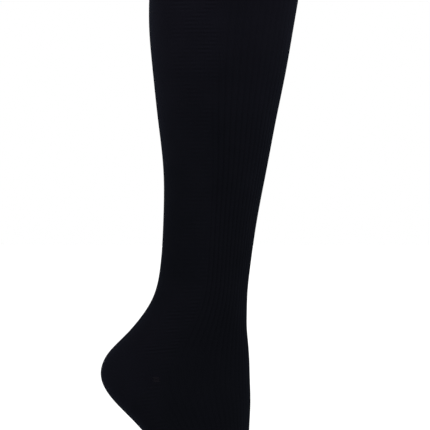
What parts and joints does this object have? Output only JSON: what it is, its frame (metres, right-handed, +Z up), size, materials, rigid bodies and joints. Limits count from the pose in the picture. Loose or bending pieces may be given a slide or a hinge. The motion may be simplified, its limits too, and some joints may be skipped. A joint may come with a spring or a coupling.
{
  "type": "compression stocking",
  "caption": "Knee-high compression stocking, filled out on a pointed leg: hollow ribbed tube with a plain top band, a heel pocket and a rounded closed toe.",
  "frame": {"origin": "centre of the top opening, in the plane of the top edge, where the wearer's leg holds the stocking just below the knee", "axes": "+Z up out of the top opening, along the leg; +X towards the shin and the toes; the heel is on the -X side; the stocking is the same on both sides of y = 0"},
  "size_m": [0.1731, 0.118, 0.6119],
  "materials": {
    "welt_knit": "black double welt, soft matt",
    "ribbed_knit": "black elastic knit, fine lengthwise ribs in front and plain behind",
    "pocket_knit": "black plain knit, smooth and close"
  },
  "bodies": {
    "root": {"top_band": "welt_knit", "leg": "ribbed_knit", "heel": "pocket_knit", "foot": "ribbed_knit", "toe": "pocket_knit"}
  },
  "joints": []
}
